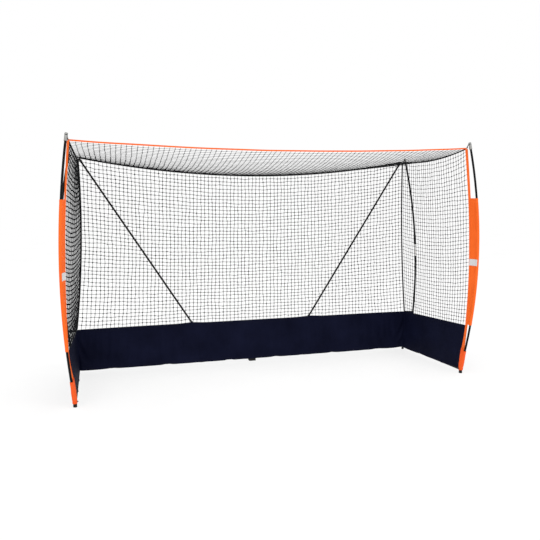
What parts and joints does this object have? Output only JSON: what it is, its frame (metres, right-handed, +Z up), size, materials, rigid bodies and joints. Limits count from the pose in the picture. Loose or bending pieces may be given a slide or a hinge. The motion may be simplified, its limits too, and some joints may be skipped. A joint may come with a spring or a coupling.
{
  "type": "portable hockey goal",
  "caption": "Portable field goal with a ground frame, bowed corner rods, rear stays, knotted net, dark skirt and orange edge bands.",
  "frame": {"origin": "on the ground, at the middle of the overall width and depth", "axes": "+Z up, +X to the right seen from the front, the goal mouth faces -Y"},
  "size_m": [3.8322, 1.3045, 2.2343],
  "materials": {
    "base_steel": "black powder coat, satin",
    "rubber_foot": "matte moulded rubber",
    "button_metal": "plated steel",
    "spring_steel": "spring steel strip",
    "bare_aluminium": "turned, satin",
    "black_rod": "black fibreglass, semi-gloss",
    "net_twine": "knotted black twine",
    "skirt_fabric": "woven nylon, slight sheen",
    "orange_band": "woven polyester webbing",
    "orange_sleeve": "woven polyester cloth",
    "white_patch": "white woven label cloth",
    "black_cord": "braided black cord"
  },
  "bodies": {
    "frame": {"rear_tube_left": "base_steel", "rear_tube_right": "base_steel", "corner_left": "base_steel", "corner_right": "base_steel", "side_arm_left": "base_steel", "side_arm_right": "base_steel", "front_foot_left": "rubber_foot", "front_foot_right": "rubber_foot", "rear_foot_left": "rubber_foot", "rear_foot_right": "rubber_foot", "centre_foot": "rubber_foot", "button_springs": "spring_steel", "front_bow_lower_left": "black_rod", "front_bow_upper_left": "black_rod", "front_bow_ferrule_left": "bare_aluminium", "front_bow_tip_left": "bare_aluminium", "front_bow_lower_right": "black_rod", "front_bow_upper_right": "black_rod", "front_bow_ferrule_right": "bare_aluminium", "front_bow_tip_right": "bare_aluminium", "rear_bow_lower_left": "black_rod", "rear_bow_upper_left": "black_rod", "rear_bow_ferrule_left": "bare_aluminium", "rear_bow_tip_left": "bare_aluminium", "rear_bow_lower_right": "black_rod", "rear_bow_upper_right": "black_rod", "rear_bow_ferrule_right": "bare_aluminium", "rear_bow_tip_right": "bare_aluminium", "stay_left": "black_rod", "stay_right": "black_rod", "stay_caps": "rubber_foot", "roof_net": "net_twine", "rear_net": "net_twine", "side_net_left": "net_twine", "side_net_right": "net_twine", "rear_skirt": "skirt_fabric", "side_skirt_left": "skirt_fabric", "side_skirt_right": "skirt_fabric", "skirt_ties": "skirt_fabric", "skirt_loops": "skirt_fabric", "crossbar_band": "orange_band", "front_band_left": "orange_band", "front_band_right": "orange_band", "sleeve_left": "orange_sleeve", "sleeve_right": "orange_sleeve", "sleeve_patches": "white_patch", "foot_sock_left": "orange_sleeve", "foot_sock_right": "orange_sleeve", "rear_top_cord": "black_cord", "roof_cord_left": "black_cord", "roof_cord_right": "black_cord", "seam_cord_left": "black_cord", "seam_cord_right": "black_cord", "corner_loops": "black_cord"},
    "button_centre_body": {"button_centre": "button_metal"},
    "button_rear_left_body": {"button_rear_left": "button_metal"},
    "button_rear_right_body": {"button_rear_right": "button_metal"},
    "button_side_left_body": {"button_side_left": "button_metal"},
    "button_side_right_body": {"button_side_right": "button_metal"}
  },
  "joints": [
    {"name": "press_centre", "type": "slide", "parent": "frame", "child": "button_centre_body", "axis": [0, -1, 0], "range_m": [0, 0.0056], "stiffness_N_per_m": 800, "deforming": ["button_springs"]},
    {"name": "press_rear_left", "type": "slide", "parent": "frame", "child": "button_rear_left_body", "axis": [0, -1, 0], "range_m": [0, 0.0056], "stiffness_N_per_m": 800, "deforming": ["button_springs"]},
    {"name": "press_rear_right", "type": "slide", "parent": "frame", "child": "button_rear_right_body", "axis": [0, -1, 0], "range_m": [0, 0.0056], "stiffness_N_per_m": 800, "deforming": ["button_springs"]},
    {"name": "press_side_left", "type": "slide", "parent": "frame", "child": "button_side_left_body", "axis": [0.999, -0.0447, 0], "range_m": [0, 0.0056], "stiffness_N_per_m": 800, "deforming": ["button_springs"]},
    {"name": "press_side_right", "type": "slide", "parent": "frame", "child": "button_side_right_body", "axis": [-0.999, -0.0447, 0], "range_m": [0, 0.0056], "stiffness_N_per_m": 800, "deforming": ["button_springs"]}
  ]
}
